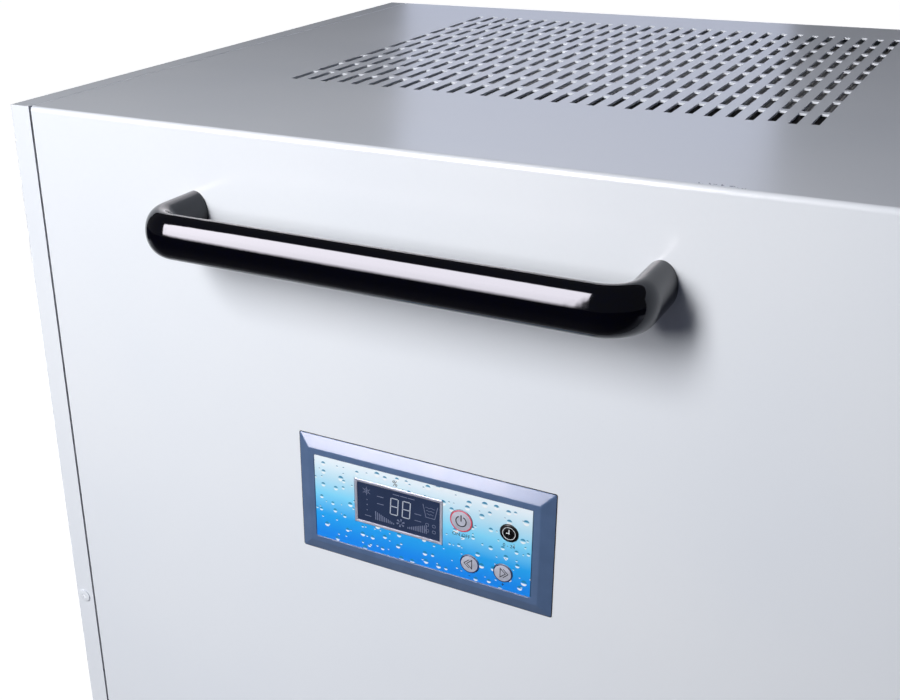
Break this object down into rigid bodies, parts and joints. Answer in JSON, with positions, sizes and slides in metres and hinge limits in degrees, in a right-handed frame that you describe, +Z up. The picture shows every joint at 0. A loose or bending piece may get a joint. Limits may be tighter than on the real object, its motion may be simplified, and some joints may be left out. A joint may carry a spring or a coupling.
{
  "type": "atmospheric water generator",
  "caption": "Sheet-metal cabinet on casters that condenses water from air, with a slotted top outlet, pull handle, key panel, rear water tank and sliding air filter.",
  "frame": {"origin": "on the floor under the middle of the whole machine", "axes": "+Z up, front faces -Y, +X to the right seen from the front"},
  "size_m": [0.5, 0.4966, 0.97],
  "materials": {
    "white_powder_coat": "satin",
    "galvanised_sheet": "satin",
    "zinc_steel": "satin",
    "black_gloss": "gloss",
    "slate_plastic": "satin",
    "printed_film": "gloss",
    "silver_frame": "satin",
    "navy_glass": "gloss",
    "grey_key": "satin",
    "black_key": "satin",
    "circuit_board": "matte",
    "black_plastic": "matte",
    "motor_paint": "satin",
    "wire_screen": "satin",
    "black_foam": "matte",
    "white_plastic": "satin",
    "fin_aluminium": "satin",
    "copper": "satin",
    "black_rubber": "matte",
    "tank_plastic": "satin",
    "filter_plastic": "matte",
    "filter_cloth": "matte"
  },
  "bodies": {
    "cabinet": {"left_side_panel": "white_powder_coat", "right_side_panel": "white_powder_coat", "front_panel": "white_powder_coat", "top_panel": "white_powder_coat", "rear_panel": "white_powder_coat", "panel_screws": "white_powder_coat", "filter_rails": "white_powder_coat", "base_pan": "galvanised_sheet", "corner_posts": "galvanised_sheet", "fan_deck": "galvanised_sheet", "motor_bracket": "galvanised_sheet", "partition": "galvanised_sheet", "coil_shelf": "galvanised_sheet", "tank_tray": "galvanised_sheet", "electrical_box": "galvanised_sheet", "electrical_cover": "galvanised_sheet", "handle_screws": "galvanised_sheet", "caster_plates": "zinc_steel", "pull_handle": "black_gloss", "control_bezel": "slate_plastic", "panel_overlay": "printed_film", "display_frame": "silver_frame", "display_glass": "navy_glass", "control_board": "circuit_board", "cord_gland": "black_plastic", "fan_motor": "motor_paint", "compressor": "motor_paint", "water_pump": "motor_paint", "outlet_screen": "wire_screen", "foam_baffle": "black_foam", "drip_tray": "white_plastic", "humidity_sensor": "white_plastic", "outlet_spigot": "white_plastic", "water_filters": "white_plastic", "water_pipes": "white_plastic", "evaporator_fins": "fin_aluminium", "condenser_fins": "fin_aluminium", "run_capacitor": "fin_aluminium", "evaporator_tube": "copper", "condenser_tube": "copper", "refrigerant_pipes": "copper", "capillary_line": "copper", "compressor_mounts": "black_rubber"},
    "power_button": {"power_key": "grey_key"},
    "timer_button": {"timer_key": "black_key"},
    "left_button": {"left_key": "grey_key"},
    "right_button": {"right_key": "grey_key"},
    "fan": {"fan_wheel": "black_plastic"},
    "fork_front_left": {"caster_fork_front_left": "zinc_steel"},
    "wheel_front_left": {"caster_wheel_front_left": "black_rubber"},
    "fork_front_right": {"caster_fork_front_right": "zinc_steel"},
    "wheel_front_right": {"caster_wheel_front_right": "black_rubber"},
    "fork_rear_left": {"caster_fork_rear_left": "zinc_steel"},
    "wheel_rear_left": {"caster_wheel_rear_left": "black_rubber"},
    "fork_rear_right": {"caster_fork_rear_right": "zinc_steel"},
    "wheel_rear_right": {"caster_wheel_rear_right": "black_rubber"},
    "tank": {"water_tank": "tank_plastic"},
    "float": {"tank_float": "white_plastic"},
    "filter": {"filter_frame": "filter_plastic", "filter_mesh": "filter_cloth"}
  },
  "joints": [
    {"name": "power_press", "type": "slide", "parent": "cabinet", "child": "power_button", "axis": [0, 1, 0], "range_m": [0, 0.0006], "stiffness_N_per_m": 2000},
    {"name": "timer_press", "type": "slide", "parent": "cabinet", "child": "timer_button", "axis": [0, 1, 0], "range_m": [0, 0.0006], "stiffness_N_per_m": 2000},
    {"name": "left_press", "type": "slide", "parent": "cabinet", "child": "left_button", "axis": [0, 1, 0], "range_m": [0, 0.0006], "stiffness_N_per_m": 2000},
    {"name": "right_press", "type": "slide", "parent": "cabinet", "child": "right_button", "axis": [0, 1, 0], "range_m": [0, 0.0006], "stiffness_N_per_m": 2000},
    {"name": "fan_spin", "type": "hinge", "parent": "cabinet", "child": "fan", "pos_m": [0, 0.0975, 0.9118], "axis": [0, 0, 1], "continuous": true},
    {"name": "swivel_front_left", "type": "hinge", "parent": "cabinet", "child": "fork_front_left", "pos_m": [-0.193, -0.1475, 0.065], "axis": [0, 0, 1], "continuous": true},
    {"name": "roll_front_left", "type": "hinge", "parent": "fork_front_left", "child": "wheel_front_left", "pos_m": [-0.193, -0.1315, 0.025], "axis": [1, 0, 0], "continuous": true},
    {"name": "swivel_front_right", "type": "hinge", "parent": "cabinet", "child": "fork_front_right", "pos_m": [0.193, -0.1475, 0.065], "axis": [0, 0, 1], "continuous": true},
    {"name": "roll_front_right", "type": "hinge", "parent": "fork_front_right", "child": "wheel_front_right", "pos_m": [0.193, -0.1315, 0.025], "axis": [1, 0, 0], "continuous": true},
    {"name": "swivel_rear_left", "type": "hinge", "parent": "cabinet", "child": "fork_rear_left", "pos_m": [-0.193, 0.1725, 0.065], "axis": [0, 0, 1], "continuous": true},
    {"name": "roll_rear_left", "type": "hinge", "parent": "fork_rear_left", "child": "wheel_rear_left", "pos_m": [-0.193, 0.1885, 0.025], "axis": [1, 0, 0], "continuous": true},
    {"name": "swivel_rear_right", "type": "hinge", "parent": "cabinet", "child": "fork_rear_right", "pos_m": [0.193, 0.1725, 0.065], "axis": [0, 0, 1], "continuous": true},
    {"name": "roll_rear_right", "type": "hinge", "parent": "fork_rear_right", "child": "wheel_rear_right", "pos_m": [0.193, 0.1885, 0.025], "axis": [1, 0, 0], "continuous": true},
    {"name": "tank_slide", "type": "slide", "parent": "cabinet", "child": "tank", "axis": [0, 1, 0], "range_m": [0, 0.2]},
    {"name": "float_rise", "type": "slide", "parent": "tank", "child": "float", "axis": [0, 0, 1], "range_m": [0, 0.14]},
    {"name": "filter_slide", "type": "slide", "parent": "cabinet", "child": "filter", "axis": [0, 0, 1], "range_m": [0, 0.38]}
  ]
}
